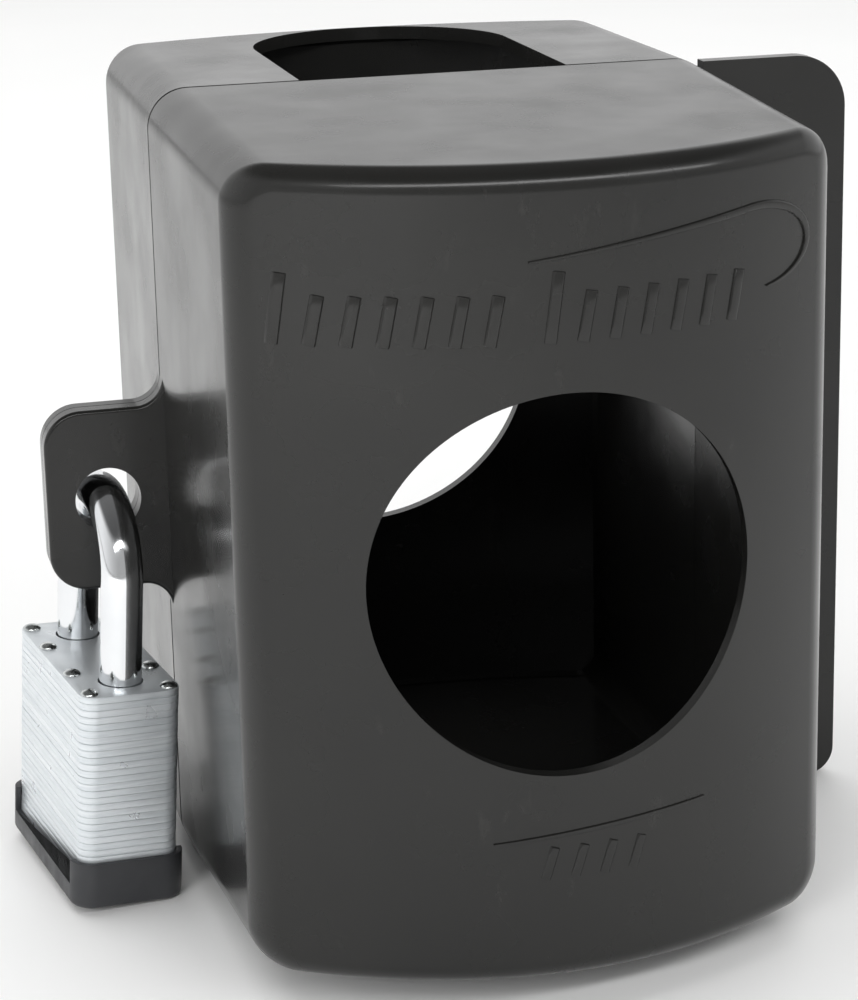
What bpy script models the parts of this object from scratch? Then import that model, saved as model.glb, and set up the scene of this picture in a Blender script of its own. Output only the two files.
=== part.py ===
"""Lockable clamshell cover for a power connector, with a laminated padlock through its ears.

Lengths are metres, +Z is up. The seam between the halves is the plane y = 0,
the front half is on the -Y side. The finished assembly is moved at the end so
that its bounding box stands on z = 0, centred in x and y.
"""
import math

import bmesh
import bpy
from mathutils import Matrix, Vector

MM = 0.001

# Case halves: outline at the seam, then what the draft takes off towards each end wall
SEAM_HALF_W = 61.7 * MM
SEAM_TOP = 165.0 * MM
SEAM_BOTTOM = -6.3 * MM
OUTLINE_R = 8.5 * MM
WALL = 3.0 * MM
SEAM_GAP = 0.15 * MM
EDGE_R = 5.0 * MM
FRONT = {"sign": -1, "depth": 77.0 * MM, "bow": 22.0 * MM, "side": 1.6 * MM, "top": 1.8 * MM, "bottom": 7.0 * MM}
REAR = {"sign": 1, "depth": 73.2 * MM, "bow": 9.6 * MM, "side": 1.1 * MM, "top": 1.0 * MM, "bottom": 0.0}
OUTLINE_CORNER_STEPS = 6
OUTLINE_TOP_STEPS = 10
EDGE_STEPS = 4

# Openings
PORT_Z = 82.2 * MM
FRONT_PORT_R = 38.1 * MM
REAR_PORT_R = 41.0 * MM
NOTCH_HALF_W = 29.2 * MM
NOTCH_STRAIGHT = 49.0 * MM

# Padlock ears on the left of both halves
EAR_Z = 78.6 * MM
EAR_OUT = 87.5 * MM
EAR_HALF_H = 19.8 * MM
EAR_CORNER_R = 8.0 * MM
EAR_FILLET_R = 6.0 * MM
EAR_T = 4.0 * MM
EAR_HOLE_X = -74.5 * MM
EAR_HOLE_R = 7.0 * MM
PLATE_EDGE = 0.8 * MM

# Flange and hinge on the right
FLANGE_OUT = 93.4 * MM
FLANGE_TOP = 164.0 * MM
FLANGE_TOP_R = 11.5 * MM
FLANGE_BOTTOM_R = 6.5 * MM
FLANGE_T = 4.7 * MM
HINGE_X = 72.0 * MM
HINGE_Y = -6.0 * MM
HINGE_Z0 = 14.0 * MM
KNUCKLES = 5
KNUCKLE_PITCH = 25.4 * MM
KNUCKLE_GAP = 0.4 * MM
KNUCKLE_R = 4.6 * MM
PIN_R = 2.0 * MM
PIN_HEAD_R = 3.2 * MM
PIN_HEAD_T = 1.5 * MM
RUN_CLEAR = 0.08 * MM

# Padlock, in its own frame: thickness along X, width along Y, turned about Z where it hangs
LOCK_X = -75.6 * MM
LOCK_TURN = math.radians(9.0)
LOCK_LEAN = math.radians(3.7)
LOCK_W = 49.5 * MM
LOCK_T = 22.0 * MM
LOCK_TOP = 42.0 * MM
LOCK_CORNER_R = 3.6 * MM
PLATES = 30
PLATE_PITCH = 1.5 * MM
PLATE_T = 1.42 * MM
LEG_R = 4.5 * MM
LEG_Y = 15.75 * MM
SHACKLE_TOP = 79.0 * MM
TOE_END = 32.5 * MM
HEEL_END = 15.0 * MM
LEG_HOLE_R = 4.85 * MM
RIVET_R = 1.0 * MM
RIVET_STEPS = 6
RIVET_CAP_R = 1.7 * MM
RIVET_CAP_T = 0.7 * MM
RIVET_X = 8.8 * MM
RIVET_YS = (-21.8 * MM, -9.0 * MM, 9.0 * MM, 21.8 * MM)
CYLINDER_R = 6.3 * MM
CYLINDER_TOP = 27.5 * MM
PLUG_R = 4.4 * MM
PLUG_STEM_R = 1.4 * MM
KEYWAY = (1.2 * MM, 5.6 * MM)
LEVER_Z = 34.6 * MM
LEVER_T = 2.2 * MM
LEVER_W = 6.0 * MM
LEVER_TIP = 10.7 * MM
CAVITY = (8.0 * MM, 23.2 * MM)
BUMPER_OVER = 1.4 * MM
BUMPER_CLEAR = 0.12 * MM
BUMPER_BOTTOM = -5.5 * MM
BUMPER_FLOOR = 2.3 * MM
BUMPER_END_TOP = 4.8 * MM
BUMPER_SIDE_TOP = -0.6 * MM
BUMPER_WRAP = 5.0 * MM

FINISHES = {
    "case_plastic": ((0.035, 0.035, 0.033), 0.0, 0.34),
    "pin_steel": ((0.55, 0.55, 0.56), 1.0, 0.35),
    "plate_steel": ((0.62, 0.65, 0.67), 1.0, 0.38),
    "shackle_chrome": ((0.80, 0.80, 0.82), 1.0, 0.12),
    "rivet_steel": ((0.58, 0.60, 0.62), 1.0, 0.30),
    "cylinder_brass": ((0.62, 0.47, 0.20), 1.0, 0.32),
    "bumper_vinyl": ((0.030, 0.031, 0.034), 0.0, 0.48),
}


def clear_scene():
    for old in list(bpy.data.objects):
        bpy.data.objects.remove(old, do_unlink=True)


def finish(name, kind):
    """One material per object, so each piece can be changed alone."""
    color, metallic, roughness = FINISHES[kind]
    material = bpy.data.materials.new(name + "_" + kind)
    material.use_nodes = True
    shader = material.node_tree.nodes["Principled BSDF"]
    shader.inputs["Base Color"].default_value = (*color, 1.0)
    shader.inputs["Metallic"].default_value = metallic
    shader.inputs["Roughness"].default_value = roughness
    return material


def add_object(name, bm, kind=None):
    bmesh.ops.recalc_face_normals(bm, faces=bm.faces)
    mesh = bpy.data.meshes.new(name)
    bm.to_mesh(mesh)
    bm.free()
    obj = bpy.data.objects.new(name, mesh)
    bpy.context.scene.collection.objects.link(obj)
    if kind:
        obj.data.materials.append(finish(name, kind))
    return obj


def combine(obj, others, operation):
    """Apply one exact Boolean per helper solid and drop the helpers."""
    for other in others:
        modifier = obj.modifiers.new("shape", "BOOLEAN")
        modifier.operation = operation
        modifier.solver = "EXACT"
        modifier.object = other
        graph = bpy.context.evaluated_depsgraph_get()
        result = bpy.data.meshes.new_from_object(obj.evaluated_get(graph))
        obj.modifiers.clear()
        obj.data = result
        bpy.data.objects.remove(other, do_unlink=True)
    return obj


def arc(cx, cy, radius, start, end, steps):
    """Points on an arc, angles in degrees."""
    angles = [math.radians(start + (end - start) * i / steps) for i in range(steps + 1)]
    return [(cx + radius * math.cos(t), cy + radius * math.sin(t)) for t in angles]


def rounded_rect(half_x, half_y, radius, steps=4):
    points = []
    for sx, sy, start in ((1, 1, 0), (-1, 1, 90), (-1, -1, 180), (1, -1, 270)):
        points += arc(sx * (half_x - radius), sy * (half_y - radius), radius, start, start + 90, steps)
    return points


def inset(points, distance):
    """A counter-clockwise outline moved inwards along its corner normals."""
    moved = []
    count = len(points)
    for i, (x, y) in enumerate(points):
        before = Vector((x, y)) - Vector(points[i - 1])
        after = Vector(points[(i + 1) % count]) - Vector((x, y))
        n0 = Vector((-before.y, before.x)).normalized()
        n1 = Vector((-after.y, after.x)).normalized()
        normal = (n0 + n1).normalized()
        reach = distance / max(0.5, normal.dot(n0))
        moved.append((x + normal.x * reach, y + normal.y * reach))
    return moved


def stack_rings(bm, rings):
    """Join rings of equal length into side walls and return their vertices."""
    loops = [[bm.verts.new(p) for p in ring] for ring in rings]
    count = len(loops[0])
    for low, high in zip(loops, loops[1:]):
        for i in range(count):
            j = (i + 1) % count
            bm.faces.new((low[i], low[j], high[j], high[i]))
    return loops


def prism(name, outlines, axis="Z", kind=None):
    """A solid through (level, outline) sections; axis Y takes outlines in x and z."""
    bm = bmesh.new()
    place = (lambda x, y, w: (x, y, w)) if axis == "Z" else (lambda x, z, w: (x, w, z))
    loops = stack_rings(bm, [[place(x, y, level) for x, y in outline] for level, outline in outlines])
    bm.faces.new(loops[0])
    bm.faces.new(loops[-1])
    return add_object(name, bm, kind)


def cylinder(name, cx, cy, radius, low, high, steps=32, axis="Z", kind=None):
    outline = arc(cx, cy, radius, 0, 360, steps)[:-1]
    return prism(name, [(low, outline), (high, outline)], axis, kind)


def box(name, low, high):
    outline = [(low[0], low[1]), (high[0], low[1]), (high[0], high[1]), (low[0], high[1])]
    return prism(name, [(low[2], outline), (high[2], outline)])


# ---------------------------------------------------------------- case halves

def case_chain(half_w, bottom, top, radius):
    """The section's upper and lower edge heights at matching x, from left to right."""
    left = arc(-half_w + radius, top - radius, radius, 180, 90, OUTLINE_CORNER_STEPS)
    right = arc(half_w - radius, top - radius, radius, 90, 0, OUTLINE_CORNER_STEPS)
    x0, x1 = left[-1][0], right[0][0]
    across = [(x0 + (x1 - x0) * i / OUTLINE_TOP_STEPS, top) for i in range(1, OUTLINE_TOP_STEPS)]
    return [(x, z, bottom + top - z) for x, z in left + across + right]


def case_ring(half, share, taken, setback):
    """One closed section: share 0 is the seam and 1 the end wall."""
    half_w = SEAM_HALF_W - half["side"] * share - taken
    top = SEAM_TOP - half["top"] * share - taken
    bottom = SEAM_BOTTOM + half["bottom"] * share + taken
    chain = case_chain(half_w, bottom, top, max(OUTLINE_R - taken, 1.0 * MM))
    end_w = SEAM_HALF_W - half["side"]

    def level(x):
        if share == 0:
            return half["sign"] * SEAM_GAP
        return half["sign"] * (half["depth"] + half["bow"] * (1 - (x / end_w) ** 2) - setback)

    upper = [(x, level(x), z) for x, z, _ in chain]
    lower = [(x, level(x), z) for x, _, z in chain]
    return upper + lower[::-1]


def case_half(name, half):
    """A hollow half box with a bowed end wall, open at the seam."""
    outer = [case_ring(half, 0, 0, 0)]
    for i in range(EDGE_STEPS + 1):
        angle = math.pi / 2 * i / EDGE_STEPS
        outer.append(case_ring(half, 1, EDGE_R * (1 - math.cos(angle)), EDGE_R * (1 - math.sin(angle))))
    inner = [case_ring(half, 0, WALL, 0), case_ring(half, 1, WALL, WALL + 1.0 * MM)]
    inner.append(case_ring(half, 1, WALL + 1.0 * MM, WALL))
    bm = bmesh.new()
    loops = stack_rings(bm, outer[::-1] + inner)
    for cap in (loops[0], loops[-1]):
        count = len(cap)
        for i in range(count // 2 - 1):
            bm.faces.new((cap[i], cap[i + 1], cap[count - 2 - i], cap[count - 1 - i]))
    return add_object(name, bm, "case_plastic")


def ear_outline():
    """Ear with rounded outer corners and fillets that run into the side wall."""
    wall = -SEAM_HALF_W
    top, bottom = EAR_Z + EAR_HALF_H, EAR_Z - EAR_HALF_H
    out = -EAR_OUT
    points = [(wall + 1.4 * MM, top + EAR_FILLET_R), (wall + 0.2 * MM, top + EAR_FILLET_R)]
    points += arc(wall - EAR_FILLET_R, top + EAR_FILLET_R, EAR_FILLET_R, -10, -90, 6)
    points += arc(out + EAR_CORNER_R, top - EAR_CORNER_R, EAR_CORNER_R, 90, 180, 8)
    points += arc(out + EAR_CORNER_R, bottom + EAR_CORNER_R, EAR_CORNER_R, 180, 270, 8)
    points += arc(wall - EAR_FILLET_R, bottom - EAR_FILLET_R, EAR_FILLET_R, 90, 10, 6)
    points += [(wall + 0.2 * MM, bottom - EAR_FILLET_R), (wall + 1.4 * MM, bottom - EAR_FILLET_R)]
    return points


def flange_outline():
    inner = SEAM_HALF_W - 1.5 * MM
    low_r, top_r = FLANGE_BOTTOM_R, FLANGE_TOP_R
    points = [(inner, SEAM_BOTTOM)]
    points += arc(FLANGE_OUT - low_r, SEAM_BOTTOM + low_r, low_r, -90, 0, 8)
    points += arc(FLANGE_OUT - top_r, FLANGE_TOP - top_r, top_r, 0, 90, 8)
    return points + [(inner, FLANGE_TOP)]


def side_plate(name, outline, sign, thickness):
    """A plate against the seam with its outer face's edge eased."""
    eased = inset(outline, PLATE_EDGE)
    levels = [(sign * SEAM_GAP, outline), (sign * (thickness - PLATE_EDGE), outline), (sign * thickness, eased)]
    return prism(name, levels, "Y")


def knuckle_span(i):
    low = HINGE_Z0 + KNUCKLE_PITCH * i
    return low, low + KNUCKLE_PITCH - KNUCKLE_GAP


def front_knuckle(i):
    low, high = knuckle_span(i)
    root = SEAM_HALF_W - 1.4 * MM
    outline = [(root, HINGE_Y - KNUCKLE_R)] + arc(HINGE_X, HINGE_Y, KNUCKLE_R, -90, 90, 14)
    outline.append((root, HINGE_Y + KNUCKLE_R))
    return prism("knuckle", [(low, outline), (high, outline)])


def rear_knuckle(i):
    low, high = knuckle_span(i)
    outline = arc(HINGE_X, HINGE_Y, KNUCKLE_R, 180, 360, 14)
    outline += [(HINGE_X + KNUCKLE_R, 1.5 * MM), (HINGE_X - KNUCKLE_R, 1.5 * MM)]
    return prism("knuckle", [(low, outline), (high, outline)])


def pin_bore():
    low = HINGE_Z0 - 5 * MM
    return cylinder("bore", HINGE_X, HINGE_Y, PIN_R + RUN_CLEAR, low, low + KNUCKLES * KNUCKLE_PITCH + 10 * MM)


def ear_hole():
    return cylinder("hole", EAR_HOLE_X, EAR_Z, EAR_HOLE_R, -8 * MM, 8 * MM, 32, "Y")


def build_front():
    cover = case_half("front_cover", FRONT)
    port = cylinder("port", 0, PORT_Z, FRONT_PORT_R, -120 * MM, -60 * MM, 72, "Y")
    combine(cover, [port], "DIFFERENCE")
    added = [side_plate("ear", ear_outline(), -1, EAR_T)]
    added += [front_knuckle(i) for i in range(0, KNUCKLES, 2)]
    combine(cover, added, "UNION")
    return combine(cover, [ear_hole(), pin_bore()], "DIFFERENCE")


def build_rear():
    cover = case_half("rear_cover", REAR)
    port = cylinder("port", 0, PORT_Z, REAR_PORT_R, 60 * MM, 100 * MM, 72, "Y")
    sides = [(-NOTCH_HALF_W, -5 * MM), (NOTCH_HALF_W, -5 * MM)]
    notch_outline = sides + arc(0, NOTCH_STRAIGHT, NOTCH_HALF_W, 0, 180, 24)
    notch = prism("notch", [(150 * MM, notch_outline), (175 * MM, notch_outline)])
    combine(cover, [port, notch], "DIFFERENCE")
    added = [side_plate("ear", ear_outline(), 1, EAR_T), side_plate("flange", flange_outline(), 1, FLANGE_T)]
    added += [rear_knuckle(i) for i in range(1, KNUCKLES, 2)]
    combine(cover, added, "UNION")
    return combine(cover, [ear_hole(), pin_bore()], "DIFFERENCE")


def build_hinge_pin():
    low = HINGE_Z0 - KNUCKLE_GAP
    high = HINGE_Z0 + KNUCKLES * KNUCKLE_PITCH
    shaft = arc(HINGE_X, HINGE_Y, PIN_R, 0, 360, 24)[:-1]
    head = arc(HINGE_X, HINGE_Y, PIN_HEAD_R, 0, 360, 24)[:-1]
    levels = [(low - PIN_HEAD_T, head), (low, head), (low, shaft), (high, shaft), (high, head)]
    return prism("hinge_pin", levels + [(high + PIN_HEAD_T, head)], "Z", "pin_steel")


# -------------------------------------------------------------------- padlock

def sweep(name, path, radius, steps, kind):
    """A round bar along a path that lies in the plane x = 0."""
    bm = bmesh.new()
    rings = []
    for i, (y, z) in enumerate(path):
        before = Vector(path[max(i - 1, 0)])
        after = Vector(path[min(i + 1, len(path) - 1)])
        along = (after - before).normalized()
        across = Vector((-along.y, along.x))
        ring = []
        for k in range(steps):
            t = 2 * math.pi * k / steps
            side = radius * math.sin(t)
            ring.append((radius * math.cos(t), y + across.x * side, z + across.y * side))
        rings.append(ring)
    loops = stack_rings(bm, rings)
    bm.faces.new(loops[0])
    bm.faces.new(loops[-1])
    return add_object(name, bm, kind)


def build_shackle():
    bend_z = SHACKLE_TOP - LEG_Y
    path = [(LEG_Y, HEEL_END)] + arc(0, bend_z, LEG_Y, 0, 180, 14) + [(-LEG_Y, TOE_END)]
    shackle = sweep("shackle", path, LEG_R, 20, "shackle_chrome")
    half_t = LEVER_T / 2 + 0.6 * MM
    notches = []
    for side in (1, -1):
        low_y, high_y = sorted((side * (LEG_Y - LEG_R - 1 * MM), side * (LEG_Y - LEG_R + 1.6 * MM)))
        notches.append(box("notch", (-6 * MM, low_y, LEVER_Z - half_t), (6 * MM, high_y, LEVER_Z + half_t)))
    return combine(shackle, notches, "DIFFERENCE")


def plate_level(i):
    return LOCK_TOP - PLATE_PITCH * i


def build_plates():
    """Stacked steel plates, each pierced only by what passes through its level."""
    outline = rounded_rect(LOCK_T / 2, LOCK_W / 2, LOCK_CORNER_R, 2)
    plates = []
    for i in range(PLATES):
        top = plate_level(i)
        low = top - PLATE_T
        plate = prism("lamination_%02d" % (i + 1), [(low, outline), (top, outline)], "Z", "plate_steel")
        cuts = []
        for x in (-RIVET_X, RIVET_X):
            for y in RIVET_YS:
                cuts.append(cylinder("cut", x, y, RIVET_R + 0.1 * MM, low - MM, top + MM, RIVET_STEPS))
        for y, end in ((LEG_Y, HEEL_END), (-LEG_Y, TOE_END)):
            if top > end - 1.0 * MM:
                cuts.append(cylinder("cut", 0, y, LEG_HOLE_R, low - MM, top + MM, 14))
        if top < CYLINDER_TOP + PLATE_PITCH:
            cuts.append(cylinder("cut", 0, 0, CYLINDER_R + 0.3 * MM, low - MM, top + MM, 14))
        elif abs(low + PLATE_T / 2 - LEVER_Z) < 2.6 * MM:
            half_x, half_y = CAVITY[0] / 2, CAVITY[1] / 2
            cuts.append(box("cut", (-half_x, -half_y, low - MM), (half_x, half_y, top + MM)))
        elif top < LEVER_Z:
            cuts.append(cylinder("cut", 0, 0, PLUG_STEM_R + 0.4 * MM, low - MM, top + MM, 12))
        plates.append(combine(plate, cuts, "DIFFERENCE"))
    return plates


def build_rivets():
    low = plate_level(PLATES) + PLATE_PITCH - PLATE_T
    high = LOCK_TOP + 0.05 * MM
    rivets = []
    for x in (-RIVET_X, RIVET_X):
        for y in RIVET_YS:
            shaft = arc(x, y, RIVET_R, 0, 360, RIVET_STEPS)[:-1]
            levels = [(low, shaft), (high, shaft)]
            for share, height in ((1.0, 0.0), (0.85, 0.55), (0.5, 0.9)):
                cap = arc(x, y, RIVET_CAP_R * share, 0, 360, RIVET_STEPS)[:-1]
                levels.append((high + RIVET_CAP_T * height, cap))
            rivets.append(prism("rivet_%d" % (len(rivets) + 1), levels, "Z", "rivet_steel"))
    return rivets


def build_cylinder():
    low = plate_level(PLATES) + PLATE_PITCH - PLATE_T
    housing = cylinder("lock_cylinder", 0, 0, CYLINDER_R, low, CYLINDER_TOP, 28, kind="cylinder_brass")
    well = cylinder("well", 0, 0, PLUG_R + RUN_CLEAR, low - MM, CYLINDER_TOP - 2.5 * MM, 28)
    tail = cylinder("tail", 0, 0, 1.6 * MM, CYLINDER_TOP - 4 * MM, CYLINDER_TOP + MM, 16)
    combine(housing, [well, tail], "DIFFERENCE")
    face = arc(0, 0, PLUG_R, 0, 360, 28)[:-1]
    stem = arc(0, 0, PLUG_STEM_R, 0, 360, 28)[:-1]
    shoulder = CYLINDER_TOP - 2.7 * MM
    levels = [(low, face), (shoulder, face), (shoulder, stem), (LEVER_Z - LEVER_T / 2 - 0.3 * MM, stem)]
    plug = prism("key_plug", levels, "Z", "cylinder_brass")
    half_x, half_y = KEYWAY[0] / 2, KEYWAY[1] / 2
    keyway = box("keyway", (-half_x, -half_y, low - MM), (half_x, half_y, CYLINDER_TOP - 9 * MM))
    return housing, combine(plug, [keyway], "DIFFERENCE")


def build_levers():
    levers = []
    for name, side in (("lever_heel", 1), ("lever_toe", -1)):
        low_y, high_y = sorted((side * 0.3 * MM, side * LEVER_TIP))
        lever = box(name, (-LEVER_W / 2, low_y, LEVER_Z - LEVER_T / 2), (LEVER_W / 2, high_y, LEVER_Z + LEVER_T / 2))
        lever.data.materials.append(finish(name, "plate_steel"))
        levers.append(lever)
    return levers


def build_bumper():
    """Vinyl cup with tall end walls and a low band along both wide faces."""
    half_x = LOCK_T / 2 + BUMPER_OVER
    half_y = LOCK_W / 2 + BUMPER_OVER
    outline = rounded_rect(half_x, half_y, LOCK_CORNER_R + BUMPER_OVER, 4)
    eased = inset(outline, 1.2 * MM)
    levels = [(BUMPER_BOTTOM, eased), (BUMPER_BOTTOM + 1.2 * MM, outline), (BUMPER_END_TOP, outline)]
    bumper = prism("bumper", levels, "Z", "bumper_vinyl")
    pocket_x, pocket_y = LOCK_T / 2 + BUMPER_CLEAR, LOCK_W / 2 + BUMPER_CLEAR
    pocket_outline = rounded_rect(pocket_x, pocket_y, LOCK_CORNER_R, 4)
    pocket = prism("pocket", [(BUMPER_BOTTOM + BUMPER_FLOOR, pocket_outline), (20 * MM, pocket_outline)])
    side_y = half_y - BUMPER_WRAP
    lowered = box("lowered", (-20 * MM, -side_y, BUMPER_SIDE_TOP), (20 * MM, side_y, 20 * MM))
    mouth = cylinder("mouth", 0, 0, CYLINDER_R - 0.4 * MM, BUMPER_BOTTOM - MM, BUMPER_BOTTOM + 5 * MM, 28)
    return combine(bumper, [pocket, lowered, mouth], "DIFFERENCE")


# ------------------------------------------------------------------- assembly

def empty(name, location):
    marker = bpy.data.objects.new(name, None)
    marker.location = location
    bpy.context.scene.collection.objects.link(marker)
    return marker


def attach(children, parent):
    """Parent without moving: every mesh is modelled in place."""
    for child in children:
        child.parent = parent
        child.matrix_parent_inverse = Matrix.Translation(-Vector(parent.location))


def bounds(objects):
    points = [obj.matrix_world @ v.co for obj in objects for v in obj.data.vertices]
    low = Vector([min(p[i] for p in points) for i in range(3)])
    high = Vector([max(p[i] for p in points) for i in range(3)])
    return low, high


def smooth_by_angle(obj, limit=math.radians(32)):
    mesh = obj.data
    bm = bmesh.new()
    bm.from_mesh(mesh)
    for edge in bm.edges:
        edge.smooth = len(edge.link_faces) == 2 and edge.calc_face_angle(0.0) < limit
    for face in bm.faces:
        face.smooth = True
    bm.to_mesh(mesh)
    bm.free()


clear_scene()
front = build_front()
rear = build_rear()
pin = build_hinge_pin()
shackle = build_shackle()
housing, plug = build_cylinder()
body_pieces = build_plates() + build_rivets() + build_levers() + [housing, build_bumper()]

hang_point = Matrix.Translation((LOCK_X, 0, SHACKLE_TOP))
turned = Matrix.Rotation(LOCK_LEAN, 4, "Y") @ Matrix.Rotation(LOCK_TURN, 4, "Z")
place_lock = hang_point @ turned @ Matrix.Translation((0, 0, -SHACKLE_TOP))
for piece in [shackle, plug] + body_pieces:
    piece.data.transform(place_lock)

meshes = [front, rear, pin, shackle, plug] + body_pieces
low, high = bounds(meshes)
recentre = Vector((-(low.x + high.x) / 2, -(low.y + high.y) / 2, -low.z))
for obj in meshes:
    obj.data.transform(Matrix.Translation(recentre))
    smooth_by_angle(obj)

hinge_axis = empty("cover_hinge_axis", recentre + Vector((HINGE_X, HINGE_Y, 0)))
swing_axis = empty("padlock_swing_axis", recentre + Vector((LOCK_X, 0, SHACKLE_TOP)))
lock_axis = empty("lock_body_axis", recentre + place_lock @ Vector((0, 0, LOCK_TOP)))
attach([front], hinge_axis)
attach([shackle], swing_axis)
attach(body_pieces + [plug], lock_axis)
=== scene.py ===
"""Looks for the lockable connector cover: smooth case halves, padlock, studio and camera."""
import math
import random

import bmesh
import bpy
from mathutils import Matrix, Vector


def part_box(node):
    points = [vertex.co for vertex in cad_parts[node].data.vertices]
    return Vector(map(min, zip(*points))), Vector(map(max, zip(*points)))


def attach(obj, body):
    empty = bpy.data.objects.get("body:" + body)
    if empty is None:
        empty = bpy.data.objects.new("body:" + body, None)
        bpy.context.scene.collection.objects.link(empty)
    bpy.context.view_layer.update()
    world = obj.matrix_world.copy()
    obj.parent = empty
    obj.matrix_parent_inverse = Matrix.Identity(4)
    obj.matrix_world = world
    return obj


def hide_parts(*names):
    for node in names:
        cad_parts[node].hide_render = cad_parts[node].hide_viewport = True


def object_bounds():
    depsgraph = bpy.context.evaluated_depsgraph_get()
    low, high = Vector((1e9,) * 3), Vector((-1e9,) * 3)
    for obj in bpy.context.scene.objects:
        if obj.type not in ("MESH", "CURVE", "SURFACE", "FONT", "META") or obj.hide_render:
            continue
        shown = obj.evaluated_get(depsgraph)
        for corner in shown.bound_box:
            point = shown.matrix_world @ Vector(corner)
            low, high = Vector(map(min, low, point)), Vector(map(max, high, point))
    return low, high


MM = 0.001

# The case, in the seam frame: y = 0 is the seam, the front half is on the -Y side
SEAM_HALF_W = 61.7 * MM
SEAM_TOP = 165.0 * MM
SEAM_BOTTOM = -6.3 * MM
OUTLINE_R = 8.5 * MM
WALL = 3.0 * MM
SEAM_GAP = 0.15 * MM
EDGE_R = 5.0 * MM
FRONT = {
    "sign": -1, "depth": 77.0 * MM, "bow": 22.0 * MM,
    "side": 1.6 * MM, "top": 1.8 * MM, "bottom": 7.0 * MM,
}
REAR = {
    "sign": 1, "depth": 73.2 * MM, "bow": 9.6 * MM,
    "side": 1.1 * MM, "top": 1.0 * MM, "bottom": 0.0,
}
CORNER_STEPS = 12
ACROSS_STEPS = 36
EDGE_STEPS = 8
PORT_Z = 82.2 * MM
FRONT_PORT_R = 38.1 * MM
REAR_PORT_R = 41.0 * MM
NOTCH_HALF_W = 29.2 * MM
NOTCH_STRAIGHT = 49.0 * MM
LIP_R = 0.5 * MM
LIP_STEPS = 3

# Ears, flange and hinge
EAR_Z = 78.6 * MM
EAR_OUT = 87.5 * MM
EAR_HALF_H = 19.8 * MM
EAR_CORNER_R = 8.0 * MM
EAR_FILLET_R = 6.0 * MM
EAR_T = 4.0 * MM
EAR_HOLE_X = -74.5 * MM
EAR_HOLE_R = 7.0 * MM
PLATE_EDGE = 0.9 * MM
FLANGE_OUT = 93.4 * MM
FLANGE_TOP = 164.0 * MM
FLANGE_TOP_R = 11.5 * MM
FLANGE_BOTTOM_R = 6.5 * MM
FLANGE_T = 4.7 * MM
HINGE_X = 72.0 * MM
HINGE_Y = -6.0 * MM
HINGE_Z0 = 14.0 * MM
KNUCKLES = 5
KNUCKLE_PITCH = 25.4 * MM
KNUCKLE_GAP = 0.4 * MM
KNUCKLE_R = 4.6 * MM
PIN_BORE_R = 2.08 * MM

# Padlock, in its own frame before it is turned and hung
LOCK_X = -75.6 * MM
LOCK_TURN = math.radians(9.0)
LOCK_LEAN = math.radians(3.7)
LOCK_W = 49.5 * MM
LOCK_T = 22.0 * MM
LOCK_TOP = 42.0 * MM
LOCK_CORNER_R = 3.6 * MM
PLATES = 30
PLATE_PITCH = 1.5 * MM
PLATE_T = 1.46 * MM
PLATE_SHIFT = 0.05 * MM
LEG_R = 4.5 * MM
LEG_Y = 15.75 * MM
LEG_HOLE_R = 4.85 * MM
SHACKLE_TOP = 79.0 * MM
TOE_END = 32.5 * MM
HEEL_END = 15.0 * MM
RIVET_X = 8.7 * MM
RIVET_YS = (-21.9 * MM, -9.0 * MM, 9.0 * MM, 21.9 * MM)
RIVET_HEAD_R = 2.0 * MM
RIVET_HEAD_H = 1.2 * MM
CYLINDER_R = 6.3 * MM
CYLINDER_TOP = 27.5 * MM
BUMPER_OVER = 1.4 * MM
BUMPER_BOTTOM = -5.5 * MM
BUMPER_FLOOR = 2.3 * MM
BUMPER_END_TOP = 4.8 * MM
BUMPER_SIDE_TOP = -0.6 * MM
BUMPER_WRAP = 5.0 * MM
PLATE_EASE = 0.10 * MM
CAVITY_FIRST_PLATE = 2
CAVITY_HALF_X = 4.0 * MM
CAVITY_HALF_Y = 11.6 * MM

# Generic relief on the front wall: slanted ribs, a sweep that wraps round, and a line below
RIB_PITCH = 6.3 * MM
RIB_COUNT = 7
RIB_TALL = 13.5 * MM
RIB_SHORT = 9.5 * MM
RIB_BASE_Z = 130.0 * MM
RIB_STARTS = (-53.0 * MM, -4.0 * MM)
RELIEF_LIFT = 0.5 * MM
LOW_RIB_PITCH = 6.0 * MM
LOW_RIB_COUNT = 4
LOW_RIB_Z = 23.0 * MM
LOW_LIFT = 0.4 * MM
SWEEP_STEPS = 12

# Camera, in the seam frame
CAMERA_TARGET = Vector((9.95, 0.0, 80.9)) * MM
CAMERA_AZIMUTH = math.radians(-15.0)
CAMERA_ELEVATION = math.radians(16.4)
CAMERA_ROLL = math.radians(-0.94)
CAMERA_DISTANCE = 647.0 * MM
CAMERA_LENS = 105.4
CAMERA_SHIFT = (-0.0572, -0.0511)

# Studio
WORLD_FRONT = 0.42
WORLD_BACK = 0.95

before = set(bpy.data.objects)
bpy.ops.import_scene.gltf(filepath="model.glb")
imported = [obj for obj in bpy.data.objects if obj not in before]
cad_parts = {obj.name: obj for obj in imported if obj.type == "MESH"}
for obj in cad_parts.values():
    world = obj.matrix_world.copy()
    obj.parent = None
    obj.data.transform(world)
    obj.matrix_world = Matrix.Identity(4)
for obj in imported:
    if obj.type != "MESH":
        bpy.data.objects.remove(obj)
cad_low, cad_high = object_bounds()
front_low, front_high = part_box("front_cover")
SHIFT = Vector((
    front_low.x + EAR_OUT,
    front_low.y + FRONT["depth"] + FRONT["bow"],
    front_low.z - SEAM_BOTTOM,
))


# ------------------------------------------------------------------ mesh tools

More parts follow.
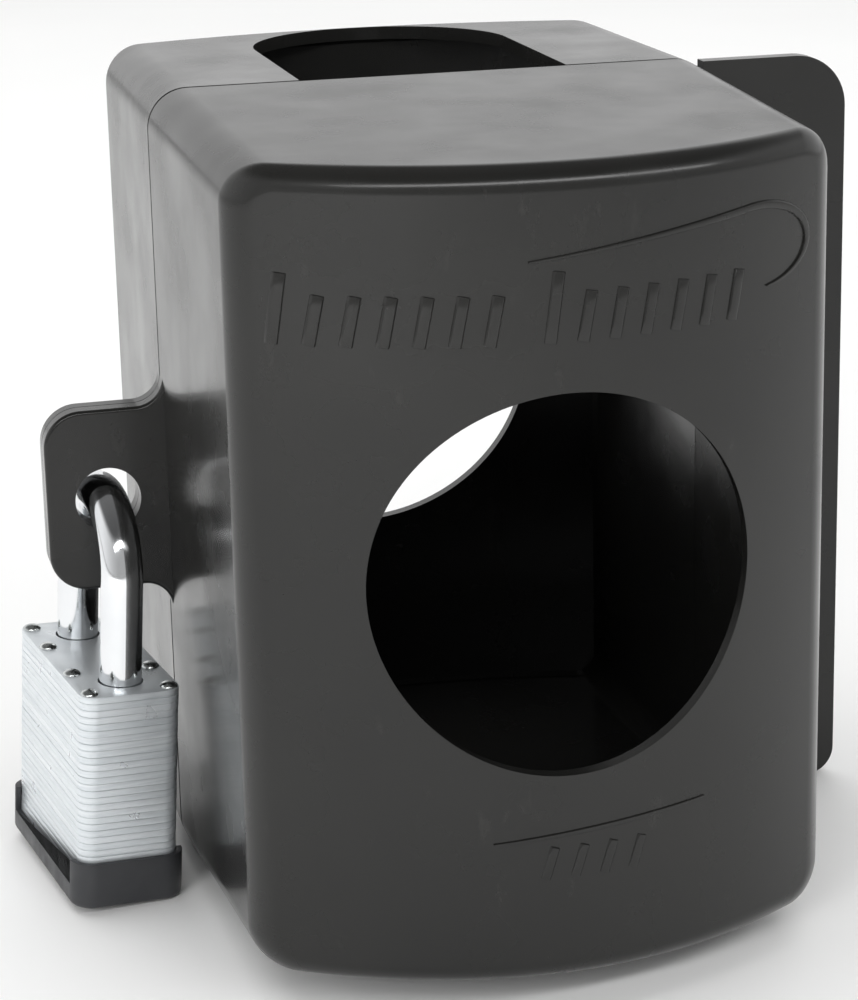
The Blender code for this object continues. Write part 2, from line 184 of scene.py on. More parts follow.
def new_object(name, bm):
    bmesh.ops.recalc_face_normals(bm, faces=bm.faces)
    mesh = bpy.data.meshes.new(name)
    bm.to_mesh(mesh)
    bm.free()
    obj = bpy.data.objects.new(name, mesh)
    bpy.context.scene.collection.objects.link(obj)
    return obj


def bake_modifiers(obj):
    graph = bpy.context.evaluated_depsgraph_get()
    result = bpy.data.meshes.new_from_object(obj.evaluated_get(graph))
    obj.modifiers.clear()
    obj.data = result


def combine(obj, others, operation):
    for other in others:
        modifier = obj.modifiers.new("shape", "BOOLEAN")
        modifier.operation = operation
        modifier.solver = "EXACT"
        modifier.object = other
        bake_modifiers(obj)
        bpy.data.objects.remove(other, do_unlink=True)
    return obj


def arc(cx, cy, radius, start, end, steps):
    """Points on an arc, angles in degrees."""
    angles = [math.radians(start + (end - start) * i / steps) for i in range(steps + 1)]
    return [(cx + radius * math.cos(t), cy + radius * math.sin(t)) for t in angles]


def circle(cx, cy, radius, steps):
    return arc(cx, cy, radius, 0, 360, steps)[:-1]


def rounded_rect(half_x, half_y, radius, steps):
    points = []
    for sx, sy, start in ((1, 1, 0), (-1, 1, 90), (-1, -1, 180), (1, -1, 270)):
        points += arc(sx * (half_x - radius), sy * (half_y - radius), radius, start, start + 90, steps)
    return points


def inset(points, distance):
    """A counter-clockwise outline moved inwards along its corner normals."""
    moved = []
    count = len(points)
    for i, (x, y) in enumerate(points):
        before = Vector((x, y)) - Vector(points[i - 1])
        after = Vector(points[(i + 1) % count]) - Vector((x, y))
        n0 = Vector((-before.y, before.x)).normalized()
        n1 = Vector((-after.y, after.x)).normalized()
        normal = (n0 + n1).normalized()
        reach = distance / max(0.5, normal.dot(n0))
        moved.append((x + normal.x * reach, y + normal.y * reach))
    return moved


def stack_rings(bm, rings):
    loops = [[bm.verts.new(p) for p in ring] for ring in rings]
    count = len(loops[0])
    for low, high in zip(loops, loops[1:]):
        for i in range(count):
            j = (i + 1) % count
            bm.faces.new((low[i], low[j], high[j], high[i]))
    return loops


def prism(name, outlines, axis="Z"):
    """A solid through (level, outline) sections; axis Y takes outlines in x and z."""
    bm = bmesh.new()
    place = (lambda x, y, w: (x, y, w)) if axis == "Z" else (lambda x, z, w: (x, w, z))
    loops = stack_rings(bm, [[place(x, y, level) for x, y in outline] for level, outline in outlines])
    bm.faces.new(loops[0])
    bm.faces.new(loops[-1])
    return new_object(name, bm)


def cylinder(cx, cy, radius, low, high, steps=48, axis="Z"):
    outline = circle(cx, cy, radius, steps)
    return prism("cutter", [(low, outline), (high, outline)], axis)


def box(low, high):
    outline = [(low[0], low[1]), (high[0], low[1]), (high[0], high[1]), (low[0], high[1])]
    return prism("cutter", [(low[2], outline), (high[2], outline)])


def eased_levels(low, high, outline, radius, steps=4):
    """Sections of a plate whose face at `high` ends in a quarter-round edge."""
    side = 1 if high > low else -1
    levels = [(low, outline)]
    for i in range(steps + 1):
        angle = math.pi / 2 * i / steps
        level = high - side * radius * (1 - math.sin(angle))
        levels.append((level, inset(outline, radius * (1 - math.cos(angle)))))
    return levels


def smooth(obj, limit_degrees=34):
    bm = bmesh.new()
    bm.from_mesh(obj.data)
    limit = math.radians(limit_degrees)
    for edge in bm.edges:
        edge.smooth = len(edge.link_faces) == 2 and edge.calc_face_angle(0.0) < limit
    for face in bm.faces:
        face.smooth = True
    bm.to_mesh(obj.data)
    bm.free()


def settle_normals(obj, facing, limit_degrees=34):
    """Let the larger of two smoothly joined faces rule their shared corners."""
    mesh = obj.data
    limit = math.cos(math.radians(limit_degrees))
    around = [[] for _ in mesh.vertices]
    for face in mesh.polygons:
        weight = (face.area / MM ** 2) ** 2
        for index in face.vertices:
            pull = facing(face, mesh.vertices[index].co) * weight
            around[index].append((face.normal.copy(), pull))
    normals = []
    for face in mesh.polygons:
        own = face.normal.copy()
        for index in face.vertices:
            total = sum((pull for other, pull in around[index] if other.dot(own) > limit), Vector())
            normals.append(total.normalized() if total.length > 0 else own)
    mesh.normals_split_custom_set(normals)


def ease_all(obj, width, degrees=40, steps=3):
    bevel = obj.modifiers.new("ease", "BEVEL")
    bevel.limit_method = "ANGLE"
    bevel.angle_limit = math.radians(degrees)
    bevel.width = width
    bevel.segments = steps
    bake_modifiers(obj)


def show(obj, body, material, stands_for=()):
    """Hang a finished piece on its CAD body."""
    obj.data.materials.clear()
    obj.data.materials.append(material)
    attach(obj, body)
    if stands_for:
        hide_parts(*stands_for)


# ------------------------------------------------------------------- materials

class Surface:
    """A Principled material with short helpers for its texture nodes."""

    def __init__(self, name, color, metallic, roughness):
        self.material = bpy.data.materials.new(name)
        self.material.use_nodes = True
        self.nodes = self.material.node_tree.nodes
        self.links = self.material.node_tree.links
        self.shader = self.nodes["Principled BSDF"]
        self.shader.inputs["Base Color"].default_value = (*color, 1.0)
        self.shader.inputs["Metallic"].default_value = metallic
        self.shader.inputs["Roughness"].default_value = roughness
        self.coord = self.nodes.new("ShaderNodeTexCoord")
        self.height = None

    def mapping(self, scale):
        node = self.nodes.new("ShaderNodeMapping")
        node.inputs["Scale"].default_value = scale
        self.links.new(self.coord.outputs["Object"], node.inputs["Vector"])
        return node.outputs["Vector"]

    def noise(self, scale, detail=3.0, stretch=(1, 1, 1), roughness=0.5):
        node = self.nodes.new("ShaderNodeTexNoise")
        node.inputs["Scale"].default_value = scale
        node.inputs["Detail"].default_value = detail
        node.inputs["Roughness"].default_value = roughness
        self.links.new(self.mapping(stretch), node.inputs["Vector"])
        return node.outputs["Fac"]

    def spread(self, value, low, high, from_low=0.3, from_high=0.7):
        node = self.nodes.new("ShaderNodeMapRange")
        node.inputs["From Min"].default_value = from_low
        node.inputs["From Max"].default_value = from_high
        node.inputs["To Min"].default_value = low
        node.inputs["To Max"].default_value = high
        self.links.new(value, node.inputs["Value"])
        return node.outputs["Result"]

    def blend(self, factor, first, second):
        """Mix two colours, each a tuple or another node's output."""
        node = self.nodes.new("ShaderNodeMix")
        node.data_type = "RGBA"
        self.links.new(factor, node.inputs["Factor"])
        for socket, value in ((node.inputs[6], first), (node.inputs[7], second)):
            if isinstance(value, tuple):
                socket.default_value = (*value, 1.0)
            else:
                self.links.new(value, socket)
        return node.outputs[2]

    def edge_wear(self, low=0.52, high=0.60):
        geometry = self.nodes.new("ShaderNodeNewGeometry")
        return self.spread(geometry.outputs["Pointiness"], 0.0, 1.0, low, high)

    def bump(self, height, strength, distance):
        node = self.nodes.new("ShaderNodeBump")
        node.inputs["Strength"].default_value = strength
        node.inputs["Distance"].default_value = distance
        self.links.new(height, node.inputs["Height"])
        if self.height is not None:
            self.links.new(self.height, node.inputs["Normal"])
        self.height = node.outputs["Normal"]
        self.links.new(self.height, self.shader.inputs["Normal"])

    def drive(self, socket, value):
        self.links.new(value, self.shader.inputs[socket])

    def fix(self, socket, value):
        self.shader.inputs[socket].default_value = value


def case_plastic():
    """Black injection-moulded plastic: glossy skin, faint grain, slow sink marks, small rubbed spots."""
    s = Surface("case_plastic_moulded", (0.010, 0.010, 0.009), 0.0, 0.24)
    tone = s.blend(s.spread(s.noise(14.0), 0.0, 1.0), (0.008, 0.008, 0.0076), (0.013, 0.0128, 0.0118))
    rubbed = s.spread(s.noise(160.0, 6.0, (1.0, 1.0, 0.4), 0.7), 0.0, 0.5, 0.62, 0.76)
    s.drive("Base Color", s.blend(rubbed, tone, (0.030, 0.029, 0.027)))
    s.fix("Specular IOR Level", 0.36)
    s.drive("Roughness", s.spread(s.noise(45.0, 5.0), 0.20, 0.31))
    s.bump(s.noise(2600.0, 2.0), 0.05, 0.00005)
    s.bump(s.noise(16.0, 1.0), 0.12, 0.0003)
    s.fix("Coat Weight", 0.15)
    s.fix("Coat Roughness", 0.09)
    return s.material


def zinc_steel():
    """Stamped zinc-plated plate edges: fine level scratches, each plate a slightly different grey."""
    s = Surface("plate_zinc_steel", (0.80, 0.83, 0.85), 0.60, 0.36)
    info = s.nodes.new("ShaderNodeObjectInfo")
    plate_tone = s.blend(info.outputs["Random"], (0.76, 0.80, 0.82), (0.84, 0.87, 0.89))
    scratch = s.noise(26.0, 5.0, (1.0, 1.0, 70.0), 0.6)
    s.drive("Base Color", s.blend(s.spread(scratch, 0.0, 0.6), plate_tone, (0.56, 0.60, 0.64)))
    s.drive("Roughness", s.spread(s.noise(180.0, 4.0), 0.26, 0.44))
    s.bump(scratch, 0.12, 0.00003)
    return s.material


def chrome():
    """Polished chrome with hairline scratches along the bar."""
    s = Surface("shackle_polished_chrome", (0.86, 0.87, 0.88), 1.0, 0.07)
    lines = s.noise(500.0, 3.0, (1.0, 1.0, 0.05))
    s.drive("Roughness", s.spread(lines, 0.045, 0.13))
    s.drive("Base Color", s.blend(s.spread(s.noise(90.0), 0.0, 0.5), (0.88, 0.89, 0.90), (0.74, 0.76, 0.79)))
    s.bump(lines, 0.04, 0.00002)
    return s.material


def rivet_steel():
    s = Surface("rivet_peened_steel", (0.72, 0.75, 0.76), 1.0, 0.22)
    dents = s.noise(900.0, 3.0)
    s.drive("Roughness", s.spread(dents, 0.14, 0.34))
    s.drive("Base Color", s.blend(s.spread(s.noise(300.0), 0.0, 1.0), (0.80, 0.83, 0.82), (0.55, 0.58, 0.58)))
    s.bump(dents, 0.35, 0.0001)
    return s.material


def pin_steel():
    s = Surface("pin_plain_steel", (0.55, 0.55, 0.56), 1.0, 0.32)
    turned = s.noise(40.0, 4.0, (1.0, 1.0, 60.0))
    s.drive("Roughness", s.spread(turned, 0.24, 0.42))
    s.drive("Base Color", s.blend(s.spread(s.noise(150.0), 0.0, 1.0), (0.58, 0.58, 0.59), (0.42, 0.42, 0.43)))
    s.bump(turned, 0.2, 0.00005)
    return s.material


def brass():
    s = Surface("cylinder_machined_brass", (0.66, 0.49, 0.21), 1.0, 0.28)
    marks = s.noise(700.0, 4.0, (1.0, 0.1, 1.0))
    s.drive("Roughness", s.spread(marks, 0.20, 0.40))
    s.drive("Base Color", s.blend(s.spread(s.noise(120.0), 0.0, 1.0), (0.70, 0.53, 0.24), (0.50, 0.36, 0.15)))
    s.bump(marks, 0.15, 0.00005)
    return s.material


def vinyl():
    """Dark soft vinyl: matt, a little uneven, paler where it is rubbed."""
    s = Surface("bumper_soft_vinyl", (0.022, 0.023, 0.026), 0.0, 0.42)
    tone = s.blend(s.spread(s.noise(70.0), 0.0, 1.0), (0.017, 0.018, 0.021), (0.030, 0.031, 0.034))
    s.drive("Base Color", s.blend(s.edge_wear(), tone, (0.060, 0.061, 0.064)))
    s.drive("Roughness", s.spread(s.noise(240.0, 4.0), 0.33, 0.52))
    s.bump(s.noise(1400.0, 3.0), 0.12, 0.00008)
    return s.material


def floor_paper():
    s = Surface("floor_paper", (0.90, 0.90, 0.89), 0.0, 0.85)
    s.drive("Base Color", s.blend(s.spread(s.noise(3.0), 0.0, 1.0), (0.90, 0.90, 0.895), (0.93, 0.93, 0.925)))
    s.bump(s.noise(500.0, 2.0), 0.05, 0.0001)
    return s.material


# ------------------------------------------------------------------ case halves

def case_chain(half_w, bottom, top, radius):
    left = arc(-half_w + radius, top - radius, radius, 180, 90, CORNER_STEPS)
    right = arc(half_w - radius, top - radius, radius, 90, 0, CORNER_STEPS)
    x0, x1 = left[-1][0], right[0][0]
    across = [(x0 + (x1 - x0) * i / ACROSS_STEPS, top) for i in range(1, ACROSS_STEPS)]
    return [(x, z, bottom + top - z) for x, z in left + across + right]


def wall_level(half, x, setback):
    """Distance of an end wall from the seam at x."""
    end_w = SEAM_HALF_W - half["side"]
    return half["sign"] * (half["depth"] + half["bow"] * (1 - (x / end_w) ** 2) - setback)


def case_ring(half, share, taken, setback):
    """One outline of a half: share 0 is at the seam, share 1 at the end wall."""
    half_w = SEAM_HALF_W - half["side"] * share - taken
    top = SEAM_TOP - half["top"] * share - taken
    bottom = SEAM_BOTTOM + half["bottom"] * share + taken
    chain = case_chain(half_w, bottom, top, max(OUTLINE_R - taken, 1.0 * MM))

    def level(x):
        return half["sign"] * (SEAM_GAP + setback) if share == 0 else wall_level(half, x, setback)

    upper = [(x, level(x), z) for x, z, _ in chain]
    lower = [(x, level(x), z) for x, _, z in chain]
    return upper + lower[::-1]


def case_half(name, half):
    outer = []
    for i in range(LIP_STEPS + 1):
        angle = math.pi / 2 * i / LIP_STEPS
        outer.append(case_ring(half, 0, LIP_R * (1 - math.sin(angle)), LIP_R * (1 - math.cos(angle))))
    for i in range(EDGE_STEPS + 1):
        angle = math.pi / 2 * i / EDGE_STEPS
        outer.append(case_ring(half, 1, EDGE_R * (1 - math.cos(angle)), EDGE_R * (1 - math.sin(angle))))
    inner = [case_ring(half, 0, WALL, 0), case_ring(half, 1, WALL, WALL + 1.0 * MM)]
    inner.append(case_ring(half, 1, WALL + 1.0 * MM, WALL))
    bm = bmesh.new()
    loops = stack_rings(bm, outer[::-1] + inner)
    for cap in (loops[0], loops[-1]):
        count = len(cap)
        for i in range(count // 2 - 1):
            bm.faces.new((cap[i], cap[i + 1], cap[count - 2 - i], cap[count - 1 - i]))
    return new_object(name, bm)


def ear_outline():
    wall = -SEAM_HALF_W
    top, bottom = EAR_Z + EAR_HALF_H, EAR_Z - EAR_HALF_H
    out = -EAR_OUT
    points = [(wall + 1.4 * MM, top + EAR_FILLET_R), (wall + 0.2 * MM, top + EAR_FILLET_R)]
    points += arc(wall - EAR_FILLET_R, top + EAR_FILLET_R, EAR_FILLET_R, -10, -90, 12)
    points += arc(out + EAR_CORNER_R, top - EAR_CORNER_R, EAR_CORNER_R, 90, 180, 16)
    points += arc(out + EAR_CORNER_R, bottom + EAR_CORNER_R, EAR_CORNER_R, 180, 270, 16)
    points += arc(wall - EAR_FILLET_R, bottom - EAR_FILLET_R, EAR_FILLET_R, 90, 10, 12)
    points += [(wall + 0.2 * MM, bottom - EAR_FILLET_R), (wall + 1.4 * MM, bottom - EAR_FILLET_R)]
    return points


def flange_outline():
    inner = SEAM_HALF_W - 1.5 * MM
    low_r, top_r = FLANGE_BOTTOM_R, FLANGE_TOP_R
    points = [(inner, SEAM_BOTTOM)]
    points += arc(FLANGE_OUT - low_r, SEAM_BOTTOM + low_r, low_r, -90, 0, 14)
    points += arc(FLANGE_OUT - top_r, FLANGE_TOP - top_r, top_r, 0, 90, 14)
    return points + [(inner, FLANGE_TOP)]


def side_plate(outline, sign, thickness):
    return prism("side", eased_levels(sign * SEAM_GAP, sign * thickness, outline, PLATE_EDGE), "Y")


def knuckle(i, front_side):
    low = HINGE_Z0 + KNUCKLE_PITCH * i
    high = low + KNUCKLE_PITCH - KNUCKLE_GAP
    if front_side:
        root = SEAM_HALF_W - 1.4 * MM
        outline = [(root, HINGE_Y - KNUCKLE_R)] + arc(HINGE_X, HINGE_Y, KNUCKLE_R, -90, 90, 24)
        outline.append((root, HINGE_Y + KNUCKLE_R))
    else:
        outline = arc(HINGE_X, HINGE_Y, KNUCKLE_R, 180, 360, 24)
        outline += [(HINGE_X + KNUCKLE_R, 1.5 * MM), (HINGE_X - KNUCKLE_R, 1.5 * MM)]
    return prism("knuckle", [(low, outline), (high, outline)])


def pin_bore():
    low = HINGE_Z0 - 5 * MM
    return cylinder(HINGE_X, HINGE_Y, PIN_BORE_R, low, low + KNUCKLES * KNUCKLE_PITCH + 10 * MM, 32)


def ear_hole():
    return cylinder(EAR_HOLE_X, EAR_Z, EAR_HOLE_R, -8 * MM, 8 * MM, 64, "Y")


def case_facing(half):
    """The true outward direction at a point of a face: exact on the bowed end walls."""
    end_w = SEAM_HALF_W - half["side"]

    def bowed(x, side):
        return Vector((2 * half["bow"] * x / end_w ** 2, half["sign"], 0)).normalized() * side

    def facing(face, point):
        middle = face.center
        for setback, side in ((0.0, 1), (WALL, -1)):
            near = abs(middle.y - wall_level(half, middle.x, setback)) < 0.1 * MM
            if near and face.normal.dot(bowed(middle.x, side)) > 0.995:
                return bowed(point.x, side)
        return face.normal

    return facing


def finish_case(cover, half):
    smooth(cover)
    settle_normals(cover, case_facing(half))
    cover.data.transform(Matrix.Translation(SHIFT))


def build_front():
    cover = case_half("front_shell", FRONT)
    port = cylinder(0, PORT_Z, FRONT_PORT_R, -120 * MM, -60 * MM, 144, "Y")
    combine(cover, [port], "DIFFERENCE")
    added = [side_plate(ear_outline(), -1, EAR_T)] + [knuckle(i, True) for i in range(0, KNUCKLES, 2)]
    combine(cover, added, "UNION")
    combine(cover, [ear_hole(), pin_bore()], "DIFFERENCE")
    finish_case(cover, FRONT)
    return cover


def build_rear():
    cover = case_half("rear_shell", REAR)
    port = cylinder(0, PORT_Z, REAR_PORT_R, 60 * MM, 100 * MM, 144, "Y")
    sides = [(-NOTCH_HALF_W, -5 * MM), (NOTCH_HALF_W, -5 * MM)]
    notch_outline = sides + arc(0, NOTCH_STRAIGHT, NOTCH_HALF_W, 0, 180, 48)
    notch = prism("notch", [(150 * MM, notch_outline), (175 * MM, notch_outline)])
    combine(cover, [port, notch], "DIFFERENCE")
    added = [side_plate(ear_outline(), 1, EAR_T), side_plate(flange_outline(), 1, FLANGE_T)]
    added += [knuckle(i, False) for i in range(1, KNUCKLES, 2)]
    combine(cover, added, "UNION")
    combine(cover, [ear_hole(), pin_bore()], "DIFFERENCE")
    finish_case(cover, REAR)
    return cover


# ---------------------------------------------------------- generic front relief

def relief_strip(bm, centre, widths, height):
    """A raised ribbon on the bowed front wall along centre, a list of (x, z)."""
    sections = []
    for i, (x, z) in enumerate(centre):
        before = Vector(centre[max(i - 1, 0)])
        after = Vector(centre[min(i + 1, len(centre) - 1)])
        along = (after - before).normalized()
        across = Vector((-along.y, along.x))
        half = widths[i] / 2
        corners = []
        for side, lift in ((-1.0, -0.3 * MM), (-0.6, height), (0.6, height), (1.0, -0.3 * MM)):
            px = x + across.x * half * side
            pz = z + across.y * half * side
            corners.append(bm.verts.new((px, wall_level(FRONT, px, 0) - lift, pz)))
        sections.append(corners)
    for low, high in zip(sections, sections[1:]):
        for k in range(4):
            bm.faces.new((low[k], low[(k + 1) % 4], high[(k + 1) % 4], high[k]))
    bm.faces.new(sections[0])
    bm.faces.new(sections[-1])


def slanted_rib(bm, x, z, height, lean, width, lift):
    steps = 4
    centre = [(x + lean * k / steps, z + height * k / steps) for k in range(steps + 1)]
    relief_strip(bm, centre, [width] * (steps + 1), lift)


def build_relief():
    """Plain ribs under a tapered arc, above the port, and a smaller set below it."""
    bm = bmesh.new()
    steps = SWEEP_STEPS
    sweep = [((-8 + 46 * k / steps) * MM, (145.5 + 5.4 * k / steps) * MM) for k in range(steps)]
    sweep += [(40 * MM + 12.5 * MM * math.cos(t), 143 * MM + 8 * MM * math.sin(t))
              for t in (math.radians(98 - 178 * k / (2 * steps)) for k in range(2 * steps + 1))]
    widths = [(0.5 + 1.6 * math.sin(math.pi * k / (len(sweep) - 1))) * MM for k in range(len(sweep))]
    relief_strip(bm, sweep, widths, RELIEF_LIFT)
    for first in RIB_STARTS:
        for k in range(RIB_COUNT):
            height = RIB_TALL if k == 0 else RIB_SHORT
            slanted_rib(bm, first + RIB_PITCH * k, RIB_BASE_Z, height, 1.8 * MM, 2.9 * MM, RELIEF_LIFT)
    for k in range(LOW_RIB_COUNT):
        slanted_rib(bm, -6 * MM + LOW_RIB_PITCH * k, LOW_RIB_Z, 6.5 * MM, 2.0 * MM, 2.4 * MM, LOW_LIFT)
    tail = [((-16 + 44 * k / steps) * MM, (31.0 + 3.5 * k / steps) * MM) for k in range(steps + 1)]
    tail_widths = [(0.4 + 1.0 * math.sin(math.pi * k / steps)) * MM for k in range(steps + 1)]
    relief_strip(bm, tail, tail_widths, LOW_LIFT)
    relief = new_object("front_relief", bm)
    ease_all(relief, 0.16 * MM, 25, 2)
    smooth(relief, 30)
    relief.data.transform(Matrix.Translation(SHIFT))
    return relief


# --------------------------------------------------------------------- padlock

HANG_POINT = Matrix.Translation(SHIFT + Vector((LOCK_X, 0, SHACKLE_TOP)))
TURNED = Matrix.Rotation(LOCK_LEAN, 4, "Y") @ Matrix.Rotation(LOCK_TURN, 4, "Z")
HANG = HANG_POINT @ TURNED @ Matrix.Translation((0, 0, -SHACKLE_TOP))


def build_shackle():
    bend_z = SHACKLE_TOP - LEG_Y
    path = [(LEG_Y, HEEL_END), (LEG_Y, HEEL_END + 0.8 * MM)]
    path += arc(0, bend_z, LEG_Y, 0, 180, 40)
    path += [(-LEG_Y, TOE_END + 0.8 * MM), (-LEG_Y, TOE_END)]
    bm = bmesh.new()
    rings = []
    steps = 48
    for i, (y, z) in enumerate(path):
        before = Vector(path[max(i - 1, 0)])
        after = Vector(path[min(i + 1, len(path) - 1)])
        along = (after - before).normalized()
        across = Vector((-along.y, along.x))
        radius = LEG_R - (0.8 * MM if i in (0, len(path) - 1) else 0)
        ring = []
        for k in range(steps):
            t = 2 * math.pi * k / steps
            side = radius * math.sin(t)
            ring.append((radius * math.cos(t), y + across.x * side, z + across.y * side))
        rings.append(ring)
    loops = stack_rings(bm, rings)
    bm.faces.new(loops[0])
    bm.faces.new(loops[-1])
    shackle = new_object("shackle_bar", bm)
    smooth(shackle)
    shackle.data.transform(HANG)
    return shackle


def build_plate(i, jitter):
    """One stamped plate with rounded edges, pierced for the legs and the cylinder."""
    top = LOCK_TOP - PLATE_PITCH * i
    low = top - PLATE_T
    outline = rounded_rect(LOCK_T / 2, LOCK_W / 2, LOCK_CORNER_R, 8)
    edge = PLATE_EASE
    flat, part_way = inset(outline, edge), inset(outline, edge * 0.3)
    levels = [(low, flat), (low + edge * 0.3, part_way), (low + edge, outline)]
    levels += [(top - edge, outline), (top - edge * 0.3, part_way), (top, flat)]
    plate = prism("plate_%02d" % (i + 1), levels)
    cuts = []
    for y, end in ((LEG_Y, HEEL_END), (-LEG_Y, TOE_END)):
        if top > end - 1.0 * MM:
            cuts.append(cylinder(0, y, LEG_HOLE_R, low - MM, top + MM, 32))
    if top < CYLINDER_TOP + PLATE_PITCH:
        cuts.append(cylinder(0, 0, CYLINDER_R + 0.3 * MM, low - MM, top + MM, 32))
    elif i >= CAVITY_FIRST_PLATE:
        cuts.append(box((-CAVITY_HALF_X, -CAVITY_HALF_Y, low - MM), (CAVITY_HALF_X, CAVITY_HALF_Y, top + MM)))
    combine(plate, cuts, "DIFFERENCE")
    smooth(plate, 40)
    plate.data.transform(HANG @ Matrix.Translation((jitter[0], jitter[1], 0)))
    return plate


def build_rivet(index, x, y):
    """A peened dome that stands on the top plate."""
    rings = []
    for k in range(9):
        angle = math.pi / 2 * k / 8.6
        rings.append((LOCK_TOP - 0.15 * MM + RIVET_HEAD_H * math.sin(angle),
                      circle(x, y, RIVET_HEAD_R * math.cos(angle), 28)))
    rivet = prism("rivet_head_%d" % index, [(LOCK_TOP - 0.6 * MM, circle(x, y, RIVET_HEAD_R, 28))] + rings)
    smooth(rivet, 50)
    rivet.data.transform(HANG)
    return rivet


def build_bumper():
    half_x = LOCK_T / 2 + BUMPER_OVER
    half_y = LOCK_W / 2 + BUMPER_OVER
    outline = rounded_rect(half_x, half_y, LOCK_CORNER_R + BUMPER_OVER, 10)
    levels = eased_levels(BUMPER_END_TOP, BUMPER_BOTTOM, outline, 1.4 * MM, 5)
    bumper = prism("lock_bumper", levels)
    clear = 0.12 * MM
    pocket_outline = rounded_rect(LOCK_T / 2 + clear, LOCK_W / 2 + clear, LOCK_CORNER_R, 10)
    pocket = prism("pocket", [(BUMPER_BOTTOM + BUMPER_FLOOR, pocket_outline), (20 * MM, pocket_outline)])
    side_y = half_y - BUMPER_WRAP
    window = [(-side_y, BUMPER_SIDE_TOP), (side_y, BUMPER_SIDE_TOP), (side_y, 20 * MM), (-side_y, 20 * MM)]
    lowered = prism("lowered", [(-20 * MM, window), (20 * MM, window)], "Y")
    lowered.data.transform(Matrix.Rotation(math.pi / 2, 4, "Z"))
    mouth = cylinder(0, 0, CYLINDER_R - 0.4 * MM, BUMPER_BOTTOM - MM, BUMPER_BOTTOM + 5 * MM, 48)
    combine(bumper, [pocket, lowered, mouth], "DIFFERENCE")
    ease_all(bumper, 0.35 * MM, 50, 3)
    smooth(bumper, 40)
    bumper.data.transform(HANG)
    return bumper


# --------------------------------------------------------------------- assembly

plastic = case_plastic()
plates_finish = zinc_steel()
rivets_finish = rivet_steel()

show(build_front(), "front_half", plastic, ["front_cover"])
show(build_rear(), "rear_half", plastic, ["rear_cover"])
show(build_relief(), "front_half", plastic)
show(build_shackle(), "shackle_bar", chrome(), ["shackle"])
show(build_bumper(), "lock_body", vinyl(), ["bumper"])

rng = random.Random(7)
for i in range(PLATES):
    jitter = (rng.uniform(-PLATE_SHIFT, PLATE_SHIFT), rng.uniform(-PLATE_SHIFT, PLATE_SHIFT))
    show(build_plate(i, jitter), "lock_body", plates_finish, ["lamination_%02d" % (i + 1)])

rivet_places = [(x, y) for x in (-RIVET_X, RIVET_X) for y in RIVET_YS]
for index, (x, y) in enumerate(rivet_places, 1):
    show(build_rivet(index, x, y), "lock_body", rivets_finish, ["rivet_%d" % index])

carried = {"hinge_pin": pin_steel(), "lever_heel": plates_finish, "lever_toe": plates_finish}
cylinder_finish = brass()
carried["lock_cylinder"] = cylinder_finish
carried["key_plug"] = cylinder_finish
for name, material in carried.items():
    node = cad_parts[name]
    node.data.materials.clear()
    node.data.materials.append(material)


# ----------------------------------------------------------------------- studio

def add_light(name, location, target, width, height, power, glossy):
    data = bpy.data.lights.new(name, "AREA")
    data.shape = "RECTANGLE"
    data.size = width
    data.size_y = height
    data.energy = power
    light = bpy.data.objects.new(name, data)
    light.location = location
    light.rotation_euler = (Vector(target) - Vector(location)).to_track_quat("-Z", "Y").to_euler()
    light.visible_glossy = glossy
    bpy.context.scene.collection.objects.link(light)


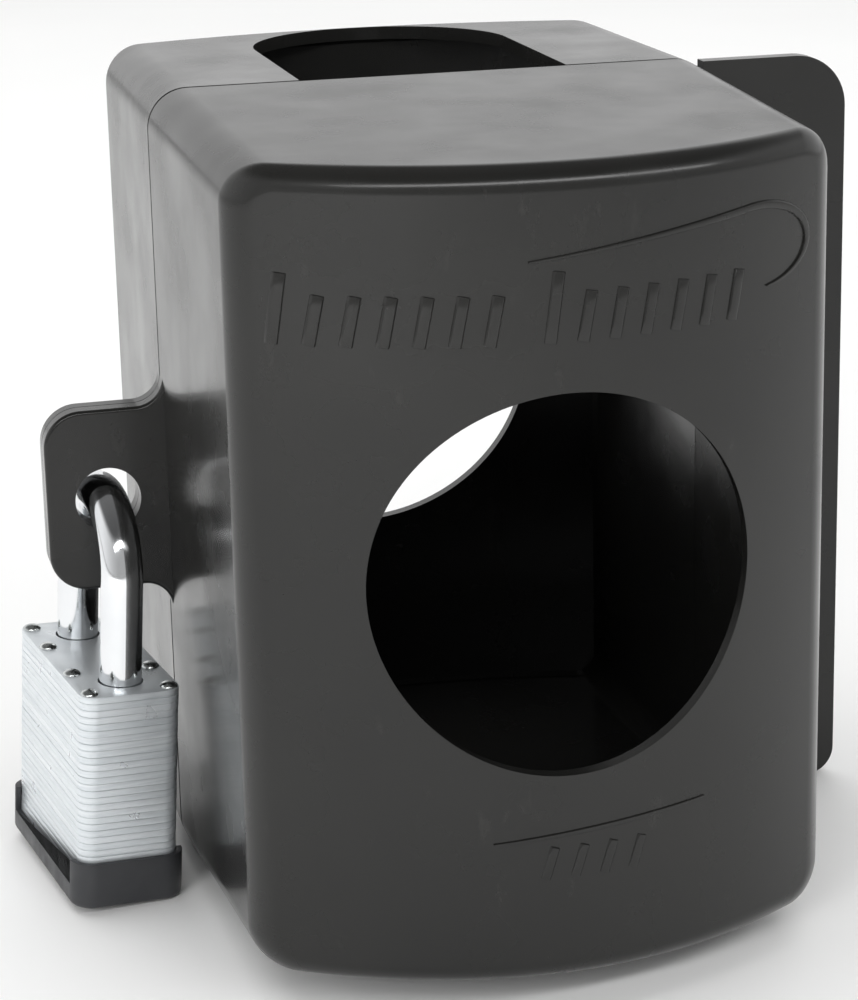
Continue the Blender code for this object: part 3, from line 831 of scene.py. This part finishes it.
def build_world():
    """White at the horizon and darker overhead, brightest behind the cover and dimmer in front."""
    world = bpy.data.worlds.new("studio")
    world.use_nodes = True
    nodes, links = world.node_tree.nodes, world.node_tree.links
    coord = nodes.new("ShaderNodeTexCoord")
    split = nodes.new("ShaderNodeSeparateXYZ")
    ramp = nodes.new("ShaderNodeValToRGB")
    ramp.color_ramp.interpolation = "EASE"
    stops = ((0.0, 1.0), (0.45, 1.0), (0.72, 0.16))
    ramp.color_ramp.elements[0].position = stops[0][0]
    ramp.color_ramp.elements[1].position = stops[1][0]
    ramp.color_ramp.elements.new(stops[2][0])
    for element, (_, value) in zip(ramp.color_ramp.elements, stops):
        element.color = (value, value, value, 1.0)
    links.new(coord.outputs["Generated"], split.inputs["Vector"])
    links.new(split.outputs["Z"], ramp.inputs["Fac"])
    toward_back = nodes.new("ShaderNodeMapRange")
    toward_back.inputs["From Min"].default_value = -0.9
    toward_back.inputs["From Max"].default_value = 0.2
    toward_back.inputs["To Min"].default_value = WORLD_FRONT
    toward_back.inputs["To Max"].default_value = WORLD_BACK
    links.new(split.outputs["Y"], toward_back.inputs["Value"])
    links.new(toward_back.outputs["Result"], nodes["Background"].inputs["Strength"])
    links.new(ramp.outputs["Color"], nodes["Background"].inputs["Color"])
    bpy.context.scene.world = world


def build_floor():
    bm = bmesh.new()
    bmesh.ops.create_grid(bm, x_segments=8, y_segments=8, size=6.0)
    floor = new_object("floor", bm)
    floor.location = (0, 0, cad_low.z - 0.0002)
    floor.data.materials.append(floor_paper())


def build_camera():
    data = bpy.data.cameras.new("camera")
    data.lens = CAMERA_LENS
    data.sensor_width = 36.0
    data.shift_x, data.shift_y = CAMERA_SHIFT
    data.clip_start, data.clip_end = 0.01, 50.0
    az, el = CAMERA_AZIMUTH, CAMERA_ELEVATION
    back = Vector((math.sin(az) * math.cos(el), -math.cos(az) * math.cos(el), math.sin(el)))
    flat_right = Vector((math.cos(az), math.sin(az), 0))
    flat_up = flat_right.cross(-back)
    right = flat_right * math.cos(CAMERA_ROLL) + flat_up * math.sin(CAMERA_ROLL)
    up = flat_up * math.cos(CAMERA_ROLL) - flat_right * math.sin(CAMERA_ROLL)
    matrix = Matrix((right, up, back)).transposed().to_4x4()
    matrix.translation = SHIFT + CAMERA_TARGET + back * CAMERA_DISTANCE
    camera = bpy.data.objects.new("camera", data)
    camera.matrix_world = matrix
    bpy.context.scene.collection.objects.link(camera)
    bpy.context.scene.camera = camera


build_world()
build_floor()
build_camera()
add_light("overhead", (0.0, 0.9, 1.8), (0, 0.6, 0), 3.0, 2.4, 38.0, False)
add_light("front_softbox", (0.15, -0.95, 0.85), (0, 0, 0.10), 2.4, 0.16, 9.0, True)
add_light("left_fill", (-0.9, -1.0, 0.45), (-0.08, 0, 0.05), 0.5, 0.5, 7.0, False)
bpy.context.scene.view_settings.view_transform = "Standard"
